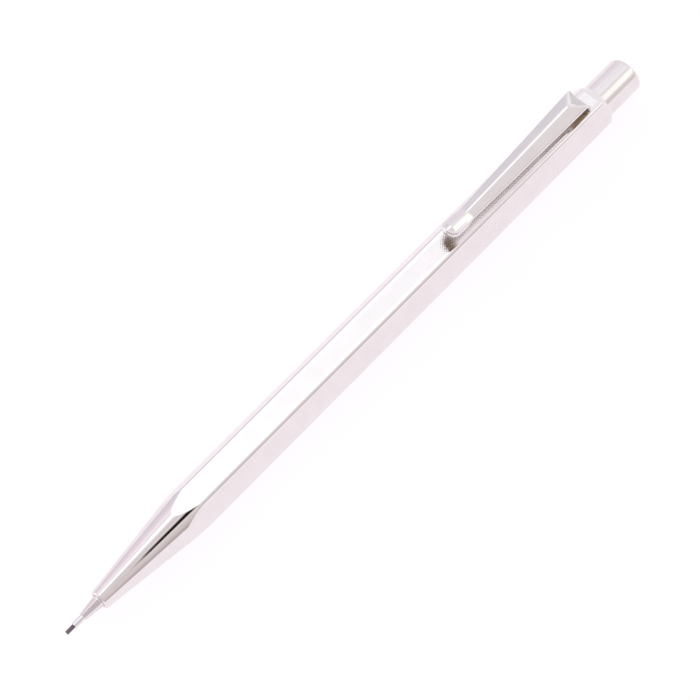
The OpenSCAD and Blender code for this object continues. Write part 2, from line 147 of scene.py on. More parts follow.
def finish(name, colours, roughness, lines, metallic=0.0, bump=0.0, **shader_values):
    """A surface whose colour drifts in patches and whose gloss follows fine lines left by its making."""
    material, tree, shader = new_material(name)
    drift = grain(tree, PATCHES, 4.0)
    fine = grain(tree, lines, 4.0)
    tree.links.new(blend_colours(tree, spread(tree, drift, 0.35, 0.65, 0, 1), *colours), shader.inputs["Base Color"])
    tree.links.new(spread(tree, fine, 0.3, 0.7, *roughness), shader.inputs["Roughness"])
    shader.inputs["Metallic"].default_value = metallic
    for key, value in shader_values.items():
        shader.inputs[key.replace("_", " ")].default_value = value
    if bump:
        height = grain(tree, lines)
        bumped = add_node(tree, "ShaderNodeBump", {"Height": height, "Strength": bump, "Distance": BUMP_HEIGHT * MM})
        tree.links.new(bumped.outputs["Normal"], shader.inputs["Normal"])
    return material


def paint_shade_at_ends(material, low, high, at_low, at_high, colour):
    """Paints shade into a material's colour near both ends of a piece; at_low and at_high say where the painted
    shade starts and is full.
    """
    tree = material.node_tree
    base = tree.nodes["Principled BSDF"].inputs["Base Color"]
    place = add_node(tree, "ShaderNodeTexCoord").outputs["Object"]
    x = add_node(tree, "ShaderNodeSeparateXYZ", {"Vector": place}).outputs["X"]
    near_high = spread(tree, x, high - at_high[0] * MM, high - at_high[1] * MM, 0, 1)
    near_low = spread(tree, x, low + at_low[0] * MM, low + at_low[1] * MM, 0, 1)
    either = add_node(tree, "ShaderNodeMath", {0: near_high, 1: near_low}, operation="MAXIMUM").outputs[0]
    tree.links.new(blend_colours(tree, either, base.links[0].from_socket, colour), base)


LENGTHWISE = (0.05, 7.0, 7.0)   # lines drawn along the pencil
TURNED = (9.0, 0.15, 0.15)      # lines left around a turned piece
EVEN = (5.0, 5.0, 5.0)

polished_plating = finish("polished_plating", ((0.80, 0.79, 0.785), (0.775, 0.76, 0.755)), (0.02, 0.045), LENGTHWISE,
                          metallic=1.0, bump=0.02)
engraved_plating = finish("engraved_plating", ((0.80, 0.785, 0.78), (0.77, 0.755, 0.75)), (0.16, 0.24), EVEN,
                          metallic=1.0, bump=0.08)
clip_plating = finish("clip_plating", ((0.79, 0.78, 0.775), (0.765, 0.75, 0.745)), (0.05, 0.10), LENGTHWISE,
                      metallic=1.0, bump=0.03)
clip_inside = finish("clip_inside", ((0.93, 0.90, 0.90), (0.89, 0.86, 0.86)), (0.05, 0.10), LENGTHWISE,
                     metallic=1.0, bump=0.05)
# Painted shade: inside the clip the colour turns dark brown near both ends, under the paddle and at the root, where
# shade and dark reflections fall.
# the brown here is painted shade, not tarnish of the plating
paint_shade_at_ends(clip_inside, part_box("clip")[0].x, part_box("clip")[1].x, at_low=(2.4, 1.4), at_high=(4.4, 3.2),
             colour=(0.26, 0.19, 0.12))
tip_plating = finish("tip_plating", ((0.745, 0.735, 0.735), (0.71, 0.695, 0.705)), (0.05, 0.10), TURNED,
                     metallic=1.0, bump=0.06)
button_plating = finish("button_plating", ((0.79, 0.78, 0.77), (0.765, 0.75, 0.74)), (0.08, 0.13), TURNED,
                        metallic=1.0, bump=0.05)
drawn_steel = finish("drawn_steel", ((0.76, 0.75, 0.76), (0.70, 0.69, 0.71)), (0.10, 0.2), LENGTHWISE,
                     metallic=1.0, bump=0.1)
nickelled_brass = finish("nickelled_brass", ((0.76, 0.73, 0.68), (0.70, 0.67, 0.62)), (0.2, 0.34), TURNED,
                         metallic=1.0, bump=0.25)
spring_wire_steel = finish("spring_wire_steel", ((0.55, 0.55, 0.57), (0.47, 0.47, 0.50)), (0.22, 0.36), EVEN,
                           metallic=1.0, bump=0.2)
turned_brass = finish("turned_brass", ((0.79, 0.56, 0.24), (0.70, 0.48, 0.20)), (0.2, 0.36), TURNED,
                      metallic=1.0, bump=0.3)
drawn_brass = finish("drawn_brass", ((0.76, 0.57, 0.27), (0.66, 0.48, 0.22)), (0.25, 0.4), LENGTHWISE,
                     metallic=1.0, bump=0.2)
black_rubber = finish("black_rubber", ((0.02, 0.02, 0.02), (0.04, 0.04, 0.04)), (0.6, 0.85), EVEN, bump=0.5)
graphite = finish("graphite", ((0.13, 0.115, 0.14), (0.18, 0.16, 0.19)), (0.3, 0.5), (3.0, 14.0, 14.0),
                  metallic=0.35, bump=0.6)
white_acetal = finish("white_acetal", ((0.80, 0.80, 0.77), (0.74, 0.74, 0.71)), (0.35, 0.5), EVEN, bump=0.25,
                      Subsurface_Weight=0.1, Subsurface_Scale=0.0004)
eraser_rubber = finish("eraser_rubber", ((0.86, 0.86, 0.84), (0.78, 0.78, 0.77)), (0.65, 0.9), EVEN, bump=0.8,
                       Subsurface_Weight=0.15, Subsurface_Scale=0.0005)


# ---- Pieces ----

def new_piece(name, body, node, mesh):
    """A finished mesh that rides on its body and stands for a CAD node."""
    piece = bpy.data.objects.new(name, mesh)
    bpy.context.scene.collection.objects.link(piece)
    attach(piece, body)
    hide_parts(node)
    return piece


def to_world(points):
    """Places (along, y, height over the axis) in millimetres to metres in the pencil's frame."""
    points = np.asarray(points, dtype=float)
    return (points + np.array([LEAD_TIP, 0, AXIS_Z])) * MM


def rounded_section(section, closed):
    """Corners (place, radius, rounding) of a half section as points with their outward normals.

    The section runs outwards over the front, along the outside and inwards over the rear.
    """
    corners = [Vector(c[:2]) for c in section]
    count = len(corners)
    line = []
    for i, (corner, given) in enumerate(zip(corners, section)):
        ends = (not closed) and i in (0, count - 1)
        before = corner - corners[i - 1] if (closed or i) else None
        after = corners[(i + 1) % count] - corner if (closed or i < count - 1) else None
        if ends:
            way = (after or before).normalized()
            line.append((corner.x, corner.y, -way.y, way.x))
            continue
        way_in, way_out = before.normalized(), after.normalized()
        turn = way_in.angle_signed(way_out)          # positive is clockwise
        if abs(turn) < 0.02:
            line.append((corner.x, corner.y, -way_in.y, way_in.x))
            continue
        side = 1 if turn > 0 else -1
        radius = given[2] if len(given) > 2 else SMALL_EDGE
        half = math.tan(abs(turn) / 2)
        radius = min(radius, 0.45 * min(before.length, after.length) / half)
        start = corner - way_in * radius * half
        first = math.atan2(way_in.x, -way_in.y)      # angle of the outward normal
        centre = start - side * radius * Vector((math.cos(first), math.sin(first)))
        steps = max(2, math.ceil(abs(turn) * (3 + 6 * min(1, radius))))
        for k in range(steps + 1):
            a = first - turn * k / steps
            normal = Vector((math.cos(a), math.sin(a)))
            point = centre + side * radius * normal
            line.append((point.x, point.y, normal.x, normal.y))
    return line


def lathe(sections, steps=96):
    """Turned solids from half sections; a section that starts and ends on the axis is open."""
    points, faces, normals = [], [], []
    around = [2 * math.pi * j / steps for j in range(steps)]
    for section in sections:
        closed = section[0][1] > 0
        line = rounded_section(section, closed)
        rings = []
        for s, r, ns, nr in line:
            first = len(points)
            if r < 1e-6:
                points.append((s, 0, 0))
                normals.append((math.copysign(1, ns), 0, 0))
                rings.append([first] * steps)
                continue
            points += [(s, r * math.cos(a), r * math.sin(a)) for a in around]
            normals += [(ns, nr * math.cos(a), nr * math.sin(a)) for a in around]
            rings.append(list(range(first, first + steps)))
        pairs = list(zip(rings, rings[1:])) + ([(rings[-1], rings[0])] if closed else [])
        for near, far in pairs:
            for j in range(steps):
                k = (j + 1) % steps
                loop = [near[j], near[k], far[k], far[j]]
                faces.append(list(dict.fromkeys(loop)))
    return points, faces, normals


def turned_piece(name, body, node, material, sections, steps=96):
    points, faces, normals = lathe(sections, steps)
    mesh = bpy.data.meshes.new(name)
    mesh.from_pydata(to_world(points).tolist(), [], faces)
    mesh.polygons.foreach_set("use_smooth", [True] * len(mesh.polygons))
    mesh.normals_split_custom_set_from_vertices(normals)
    mesh.materials.append(material)
    return new_piece(name, body, node, mesh)


def tube_section(inner, outer, start, end, edge=SMALL_EDGE):
    return [(start, inner, edge), (start, outer, edge), (end, outer, edge), (end, inner, edge)]


# ---- Geometry Nodes ----

class NodeTree:
    """A Geometry Nodes tree with named inputs, which is run on an object and leaves a plain mesh."""

    def __init__(self, name, inputs):
        self.tree = bpy.data.node_groups.new(name, "GeometryNodeTree")
        face = self.tree.interface
        face.new_socket("Geometry", in_out="INPUT", socket_type="NodeSocketGeometry")
        self.ids = {}
        for label, kind in inputs.items():
            self.ids[label] = face.new_socket(label, in_out="INPUT", socket_type=kind).identifier
        face.new_socket("Geometry", in_out="OUTPUT", socket_type="NodeSocketGeometry")
        self.inputs = self.add("NodeGroupInput").outputs
        self.output = self.add("NodeGroupOutput")

    def add(self, kind, inputs=None, **settings):
        return add_node(self.tree, kind, inputs, **settings)

    def math(self, operation, first, second=0.0, third=0.0):
        return self.add("ShaderNodeMath", {0: first, 1: second, 2: third}, operation=operation).outputs[0]

    def attribute(self, name, kind="FLOAT"):
        node = self.add("GeometryNodeInputNamedAttribute", {"Name": name}, data_type=kind)
        return node.outputs["Attribute"]

    def run(self, mesh, values):
        """The mesh that the tree makes of the given one, with the modifier removed."""
        holder = bpy.data.objects.new(mesh.name + "_source", mesh)
        bpy.context.scene.collection.objects.link(holder)
        modifier = holder.modifiers.new("shape", "NODES")
        modifier.node_group = self.tree
        for label, value in values.items():
            modifier[self.ids[label]] = value
        depsgraph = bpy.context.evaluated_depsgraph_get()
        made = bpy.data.meshes.new_from_object(holder.evaluated_get(depsgraph), depsgraph=depsgraph)
        holder.modifiers.clear()
        bpy.data.objects.remove(holder)
        return made


def engraving_tree():
    """Sinks every second point of the engraved field, which leaves rows of small diamonds."""
    tree = NodeTree("engraving", {"Depth": "NodeSocketFloat", "Polished": "NodeSocketMaterial",
                                  "Engraved": "NodeSocketMaterial"})
    count = tree.math("ADD", tree.attribute("along"), tree.attribute("across"))
    odd = tree.math("FLOORED_MODULO", count, 2.0)
    even = tree.math("SUBTRACT", 1.0, odd)
    sunk = tree.math("MULTIPLY", tree.math("MULTIPLY", even, tree.attribute("field")), tree.inputs["Depth"])
    offset = tree.add("ShaderNodeVectorMath", {0: tree.attribute("outward", "FLOAT_VECTOR")}, operation="SCALE")
    tree.tree.links.new(tree.math("MULTIPLY", sunk, -1.0), offset.inputs["Scale"])
    moved = tree.add("GeometryNodeSetPosition", {"Geometry": tree.inputs["Geometry"], "Offset": offset.outputs[0]})
    real = tree.add("GeometryNodeRealizeInstances", {"Geometry": moved.outputs[0]})
    plain = tree.add("GeometryNodeSetMaterial", {"Geometry": real.outputs[0], "Material": tree.inputs["Polished"]})
    cut = tree.add("GeometryNodeSetMaterial", {"Geometry": plain.outputs[0], "Material": tree.inputs["Engraved"],
                                               "Selection": tree.attribute("engraved", "BOOLEAN")})
    tree.tree.links.new(cut.outputs[0], tree.output.inputs[0])
    return tree


def coil_tree():
    """A wire coil along X with closed last turns."""
    tree = NodeTree("coil", {label: "NodeSocketFloat" for label in
                             ("Start", "Length", "Turns", "Mean Radius", "Wire Radius", "Axis Height")}
                    | {"Material": "NodeSocketMaterial"})
    value = tree.inputs
    steps = tree.math("ADD", tree.math("MULTIPLY", value["Turns"], 28.0), 1.0)
    line = tree.add("GeometryNodeResampleCurve", {"Curve": tree.add("GeometryNodeCurvePrimitiveLine").outputs[0],
                                                  "Count": steps})
    turn = tree.math("MULTIPLY", tree.add("GeometryNodeSplineParameter").outputs["Factor"], value["Turns"])
    closed = tree.math("MULTIPLY", value["Wire Radius"], 2.1)
    open_turns = tree.math("SUBTRACT", value["Turns"], 2.0)
    travel = tree.math("SUBTRACT", value["Length"], tree.math("MULTIPLY", value["Wire Radius"], 2.0))
    open_rise = tree.math("DIVIDE", tree.math("SUBTRACT", travel, tree.math("MULTIPLY", closed, 2.0)), open_turns)
    past_first = tree.math("MAXIMUM", tree.math("SUBTRACT", turn, 1.0), 0.0)
    last = tree.math("MAXIMUM", tree.math("SUBTRACT", past_first, open_turns), 0.0)
    rise = tree.math("ADD",
                     tree.math("MULTIPLY", closed, tree.math("ADD", tree.math("MINIMUM", turn, 1.0), last)),
                     tree.math("MULTIPLY", open_rise, tree.math("MINIMUM", past_first, open_turns)))
    along = tree.math("ADD", tree.math("ADD", rise, value["Start"]), value["Wire Radius"])
    angle = tree.math("MULTIPLY", turn, 2 * math.pi)
    sideways = tree.math("MULTIPLY", tree.math("SINE", angle), value["Mean Radius"])
    up = tree.math("MULTIPLY_ADD", tree.math("COSINE", angle), value["Mean Radius"], value["Axis Height"])
    place = tree.add("ShaderNodeCombineXYZ", {"X": along, "Y": tree.math("MULTIPLY", sideways, -1.0), "Z": up})
    bent = tree.add("GeometryNodeSetPosition", {"Geometry": line.outputs[0], "Position": place.outputs[0]})
    wire = tree.add("GeometryNodeCurvePrimitiveCircle", {"Resolution": 10, "Radius": value["Wire Radius"]})
    tube = tree.add("GeometryNodeCurveToMesh", {"Curve": bent.outputs[0], "Profile Curve": wire.outputs[0],
                                                "Fill Caps": True})
    smooth = tree.add("GeometryNodeSetShadeSmooth", {"Geometry": tube.outputs[0]})
    real = tree.add("GeometryNodeRealizeInstances", {"Geometry": smooth.outputs[0]})
    last_step = tree.add("GeometryNodeSetMaterial", {"Geometry": real.outputs[0], "Material": value["Material"]})
    tree.tree.links.new(last_step.outputs[0], tree.output.inputs[0])
    return tree


# ---- Barrel: polished nose and edges, flats engraved with small diamonds ----

DIAMOND = 0.212              # half a diamond's diagonal
GROOVE_DEPTH = 0.011
DIAMONDS_ACROSS = 14
CORNER_STEPS = 5
FIELD_END = 126.3
SLOT_START = 123.62          # slot for the clip's tongue
SLOT_ROWS = 4
SLOT_HALF = 6
NOSE_EDGE_SOFT = 0.45        # half width of the soft edge between nose cone and flats
CHAMFER_SOFT = 0.05
SHOULDER = 26.48             # where the bore narrows for the housing
SEAT_DEPTH = 0.1             # the front cone seats this far before its rubber retainer
STEP_BACK = 0.5              # the housing's step lies this far before its partition
CONE_R = 1.18                # front cone where it enters the nose
TIP_BODY_R = 1.575           # front cone's body in the nose
FRONT_R, REAR_R = 2.05, 2.25  # housing before and behind its step


def barrel_columns():
    """Lines along the barrel: (y, z), normal and, on an engraved flat, the number across it."""
    half = DIAMONDS_ACROSS // 2
    columns = []
    for flat in range(6):
        a = math.radians(90 + 60 * flat)
        out, side = np.array([math.cos(a), math.sin(a)]), np.array([-math.sin(a), math.cos(a)])
        across = [(-FLAT_W / 2, None)] + [(i * DIAMOND, i) for i in range(-half, half + 1)] + [(FLAT_W / 2, None)]
        columns += [(out * HALF_FLATS + side * t, out, i, flat) for t, i in across]
        middle = a + math.pi / 6
        centre = FLAT_W * np.array([math.cos(middle), math.sin(middle)])
        for k in range(1, CORNER_STEPS):
            b = a + math.pi / 3 * k / CORNER_STEPS
            turn = np.array([math.cos(b), math.sin(b)])
            columns.append((centre + EDGE_R * turn, turn, None, flat))
    return columns


def barrel_rows(columns):
    """Rows of (places, radii, normals, row number in the engraved field) around the whole wall."""
    place = np.array([c[0] for c in columns])
    flat_normal = np.array([c[1] for c in columns])
    far = np.hypot(place[:, 0], place[:, 1])
    ray = place / far[:, None]
    count = len(columns)
    rows = []

    def ring(s, r, ns, nr):
        rows.append((np.full(count, s), np.full(count, r), np.column_stack([np.full(count, ns), ray * nr]), None))

    def skin(s, r, normal, number=None):
        normal = normal / np.linalg.norm(normal, axis=1)[:, None]
        rows.append((s, r, normal, number))

    room_start = span("chuck_housing")[0] - SEAT_GAP
    seat = span("lead_retainer")[0] - SEAT_GAP - SEAT_DEPTH
    step = span("chuck_ring")[1] + SEAT_GAP - STEP_BACK
    cone_bore, tip_bore, front_bore, rear_bore = (r + RUN_GAP for r in (CONE_R, TIP_BODY_R, FRONT_R, REAR_R))
    cone_normal = np.column_stack([np.full(count, -NOSE_SLOPE), ray])
    prism_normal = np.column_stack([np.zeros(count), flat_normal])
    chamfer_k = REAR_CHAMFER[1] / REAR_CHAMFER[0]
    chamfer_normal = np.column_stack([np.full(count, chamfer_k), ray])

    front = rounded_section([(seat, cone_bore), (NOSE, cone_bore, 0.06), (NOSE, NOSE_R, NOSE_ROUND),
                             (NOSE + 4, NOSE_R + 4 * NOSE_SLOPE)], closed=False)
    for s, r, ns, nr in front[1:-1]:
        ring(s, r, ns, nr)
    start = front[-2][0]
    foot = NOSE + (far - NOSE_R) / NOSE_SLOPE
    for f in (0.08, 0.2, 0.35, 0.5, 0.65, 0.8, 0.92, 1.0):
        s = start + f * (foot - NOSE_EDGE_SOFT - start)
        skin(s, NOSE_R + (s - NOSE) * NOSE_SLOPE, cone_normal)
    for f in (-0.5, 0.0, 0.5):
        s = foot + f * NOSE_EDGE_SOFT
        r = np.minimum(NOSE_R + (s - NOSE) * NOSE_SLOPE, far) - 0.25 * NOSE_EDGE_SOFT * NOSE_SLOPE * (0.5 - abs(f))
        skin(s, r, cone_normal * (0.5 - f / 2) + prism_normal * (0.5 + f / 2))
    skin(foot + NOSE_EDGE_SOFT, far, prism_normal)
    first_row = math.ceil((foot.min() + NOSE_EDGE_SOFT - SLOT_START) / DIAMOND)
    last_row = math.floor((FIELD_END - SLOT_START) / DIAMOND)
    for number in range(first_row, last_row + 1):
        s = np.maximum(SLOT_START + number * DIAMOND, foot + NOSE_EDGE_SOFT)
        skin(s, far, prism_normal, number)
    edge = BARREL_END - REAR_CHAMFER[0] + (CORNER_R - far) / chamfer_k
    skin(edge - CHAMFER_SOFT, far, prism_normal)
    skin(edge, far - 0.01, prism_normal + chamfer_normal / np.linalg.norm(chamfer_normal[0]))
    skin(edge + CHAMFER_SOFT, far - CHAMFER_SOFT * chamfer_k, chamfer_normal)

    end_r = CORNER_R - REAR_CHAMFER[1]
    bore_line = [(BARREL_END - 0.2, end_r + 0.2 * chamfer_k), (BARREL_END, end_r, 0.06), (BARREL_END, BORE_R, 0.06),
                 (SLOT_START + SLOT_ROWS * DIAMOND, BORE_R), (SLOT_START, BORE_R),
                 (SHOULDER, BORE_R), (SHOULDER, rear_bore), (step, rear_bore), (step, front_bore),
                 (room_start, front_bore), (room_start, tip_bore),
                 (seat, tip_bore), (seat, cone_bore), (NOSE + 0.5, cone_bore)]
    for s, r, ns, nr in rounded_section(bore_line, closed=False)[1:]:
        ring(s, r, ns, nr)
    return rows, ray


def barrel_base():
    """The barrel's wall as a grid, with the field that the engraving tree sinks marked on it."""
    columns = barrel_columns()
    rows, ray = barrel_rows(columns)
    count = len(columns)
    numbers = [c[2] for c in columns]
    half = DIAMONDS_ACROSS // 2
    points = np.concatenate([np.column_stack([s, ray * r[:, None]]) for s, r, _, _ in rows])
    outward = np.concatenate([n for _, _, n, _ in rows])
    along = np.zeros(len(points))
    across = np.zeros(len(points))
    field = np.zeros(len(points))
    fielded = [row[3] for row in rows]
    top_number = max(n for n in fielded if n is not None)
    slot_cols = [j for j in range(count)
                 if columns[j][3] == 0 and numbers[j] is not None and abs(numbers[j]) <= SLOT_HALF]
    for i, (s, r, _, number) in enumerate(rows):
        if number is None:
            continue
        lattice = SLOT_START + number * DIAMOND
        for j, n in enumerate(numbers):
            k = i * count + j
            along[k] = number + 1000
            across[k] = (n or 0) + 1000
            in_slot = j in slot_cols and 0 <= number <= SLOT_ROWS
            if n is not None and abs(n) < half and number < top_number and s[j] <= lattice + 1e-6 and not in_slot:
                field[k] = 1.0
    faces, engraved = [], []
    bore_rows = [i for i, row in enumerate(rows) if row[3] is None and i > fielded.index(top_number)
                 and abs(row[1][0] - BORE_R) < 1e-6 and row[0][0] < BARREL_END - 2]
    inner_far = min(bore_rows, key=lambda i: abs(rows[i][0][0] - SLOT_START - SLOT_ROWS * DIAMOND))
    inner_near = min(bore_rows, key=lambda i: abs(rows[i][0][0] - SLOT_START))
    outer_near, outer_far = fielded.index(0), fielded.index(SLOT_ROWS)
    for i in range(len(rows)):
        m = (i + 1) % len(rows)
        number = fielded[i]
        cut = (outer_near <= i < outer_far) or i == inner_far
        for j in range(count):
            k = (j + 1) % count
            if cut and j in slot_cols and k in slot_cols:
                continue
            a, b, c, d = i * count + j, i * count + k, m * count + k, m * count + j
            in_field = (number is not None and fielded[m] is not None and numbers[j] is not None
                        and numbers[k] is not None and numbers[k] > numbers[j])
            if in_field:
                split = [[a, b, c], [a, c, d]] if (number + numbers[j]) % 2 == 0 else [[a, b, d], [b, c, d]]
                faces += split
                engraved += [1, 1]
            else:
                faces.append([a, b, c, d])
                engraved.append(0)
    for outer, inner, flip in ((outer_near, inner_near, False), (outer_far, inner_far, True)):
        for j, k in zip(slot_cols, slot_cols[1:]):
            wall = [outer * count + j, outer * count + k, inner * count + k, inner * count + j]
            faces.append(wall[::-1] if flip else wall)
            engraved.append(2)
    for j, flip in ((slot_cols[0], False), (slot_cols[-1], True)):
        wall = [i * count + j for i in range(outer_far, outer_near - 1, -1)]
        wall += [inner_near * count + j, inner_far * count + j]
        faces.append(wall[::-1] if flip else wall)
        engraved.append(2)

    mesh = bpy.data.meshes.new("barrel_base")
    mesh.from_pydata(to_world(points).tolist(), [], faces)
    for name, values in (("along", along), ("across", across), ("field", field)):
        mesh.attributes.new(name, "FLOAT", "POINT").data.foreach_set("value", values)
    mesh.attributes.new("outward", "FLOAT_VECTOR", "POINT").data.foreach_set("vector", outward.ravel())
    mesh.attributes.new("engraved", "BOOLEAN", "FACE").data.foreach_set("value", [e == 1 for e in engraved])
    mesh.attributes.new("plane", "BOOLEAN", "FACE").data.foreach_set("value", [e > 0 for e in engraved])
    work = bmesh.new()
    work.from_mesh(mesh)
    bmesh.ops.remove_doubles(work, verts=work.verts, dist=1e-4 * MM)
    bmesh.ops.recalc_face_normals(work, faces=work.faces)
    work.to_mesh(mesh)
    work.free()
    return mesh


def shade_from_attribute(mesh):
    """Flat facets on the cut faces, and the drawn surface's own normals elsewhere."""
    corners = np.zeros(len(mesh.loops), dtype=np.int64)
    mesh.loops.foreach_get("vertex_index", corners)
    outward = np.zeros(len(mesh.vertices) * 3)
    mesh.attributes["outward"].data.foreach_get("vector", outward)
    plane = np.zeros(len(mesh.polygons), dtype=bool)
    mesh.attributes["plane"].data.foreach_get("value", plane)
    sides = np.zeros(len(mesh.polygons), dtype=np.int64)
    mesh.polygons.foreach_get("loop_total", sides)
    face_normal = np.zeros(len(mesh.polygons) * 3)
    mesh.polygons.foreach_get("normal", face_normal)
    normals = outward.reshape(-1, 3)[corners]
    flat = np.repeat(plane, sides)
    normals[flat] = np.repeat(face_normal.reshape(-1, 3), sides, axis=0)[flat]
    mesh.polygons.foreach_set("use_smooth", [True] * len(mesh.polygons))
    mesh.normals_split_custom_set(normals.tolist())
    for name in ("along", "across", "field", "outward", "engraved", "plane"):
        mesh.attributes.remove(mesh.attributes[name])


barrel_wall = engraving_tree().run(barrel_base(), {"Depth": GROOVE_DEPTH * MM, "Polished": polished_plating,
                                                   "Engraved": engraved_plating})
barrel_wall.name = "hexagonal_barrel"
shade_from_attribute(barrel_wall)
new_piece("hexagonal_barrel", "barrel", "barrel", barrel_wall)


# ---- Clip: one bent sheet with a ridge, an end wall, and a rounded paddle with a rolled rim ----

CLIP_ROOT = BARREL_END - 3.0
CLIP_LEN = CLIP_ROOT - span("clip")[0]
SHEET = 0.55
BEND = 0.4                   # half length over which the sheet's bends are rounded
HIP = dict(ridge=4.45, edge=3.75, half=2.25, edge_from_root=1.3, ridge_from_root=4.0)
NECK = dict(ridge=3.05, edge=2.5, half=1.45)
PADDLE_LEN = 5.6
PADDLE_HALF = 1.75
PADDLE_CURL = 0.45           # how far the paddle's end curls up
PADDLE_CROWN = 0.8           # height of the paddle's ridge over its edges
PADDLE_ROUND = 1.75
PADDLE_POWER = 2.1           # 2 gives an elliptical end, more a squarer one
END_SLOPE = 2.0              # length over which the ridge runs out at the paddle's end
RIM_ROUND = 0.2
RIM_BEAD = 0.1
INNER_ROUND = 0.1
TONGUE = (0.7, 2.4)          # length and width
INSIDE_FACING = -0.45        # faces that look down more than this are the clip's inside
WALL_LEAN = math.degrees(math.atan2(HIP["edge"], HIP["edge_from_root"]))


def ease(t):
    """Smooth step from 0 to 1."""
    t = np.clip(t, 0, 1)
    return t * t * (3 - 2 * t)


def roof(v, soft=0.1):
    """Roof-like section: 1 on the ridge and 0 at the edges, with the ridge more or less rounded."""
    return 1 - (np.sqrt(v * v + soft * soft) - soft) / (np.sqrt(1 + soft * soft) - soft)


def paddle_half_width(u):
    d = np.clip((CLIP_LEN - u) / PADDLE_ROUND, 0, 1)
    return PADDLE_HALF * (1 - (1 - d) ** PADDLE_POWER) ** (1 / PADDLE_POWER)


def clip_lines():
    """Along the clip: place, edge height, crown, half width, lean of the wall and trail of the ridge."""
    neck = CLIP_LEN - PADDLE_LEN
    hip_u, hip_h, hip_half = HIP["edge_from_root"], HIP["edge"], HIP["half"]
    crown, neck_crown = HIP["ridge"] - hip_h, NECK["ridge"] - NECK["edge"]
    trail = (HIP["ridge_from_root"] - hip_u) / crown
    below, past = 0.88, 0.3
    bends = np.array([
        (0, 0, 0, FLAT_W / 2, WALL_LEAN, trail),
        (hip_u * below, hip_h * below, crown * below, hip_half, WALL_LEAN - 6, trail),
        (hip_u + past, hip_h, crown, hip_half, WALL_LEAN / 2.4, trail),
        (hip_u + 3 * past, hip_h - 0.01, crown, hip_half - 0.01, 4, trail * 0.85),
        (neck, NECK["edge"], neck_crown, NECK["half"], 0, 0)])
    run = np.concatenate([[0], np.cumsum(np.hypot(np.diff(bends[:, 0]), np.diff(bends[:, 1])))])
    fine = np.concatenate([np.linspace(0, run[3] + 0.6, 76, endpoint=False),
                           np.linspace(run[3] + 0.6, run[4], 70, endpoint=False)])
    soft = np.linspace(-BEND, BEND, 17)
    lines = np.column_stack([np.mean([np.interp(fine + d, run, bends[:, k]) for d in soft], axis=0)
                             for k in range(6)])
    for row in np.where((fine < BEND + 0.02) | (fine > run[4] - BEND - 0.02))[0]:
        lines[row] = [np.interp(fine[row], run, bends[:, k]) for k in range(6)]
    paddle = []
    for k in np.sin(np.linspace(0, math.pi / 2, 64)):
        u = neck + k * PADDLE_LEN
        flare = ease(k * 2.2)
        curl = PADDLE_CURL * k ** 3
        swell = ease((k - 0.08) / 0.4)
        wide = NECK["half"] + (PADDLE_HALF - NECK["half"]) * flare
        paddle.append((u, NECK["edge"] + curl, neck_crown + (PADDLE_CROWN - neck_crown) * swell,
                       min(wide, float(paddle_half_width(np.array(u)))), 0, 0))
    return np.concatenate([lines, np.array(paddle)]), neck


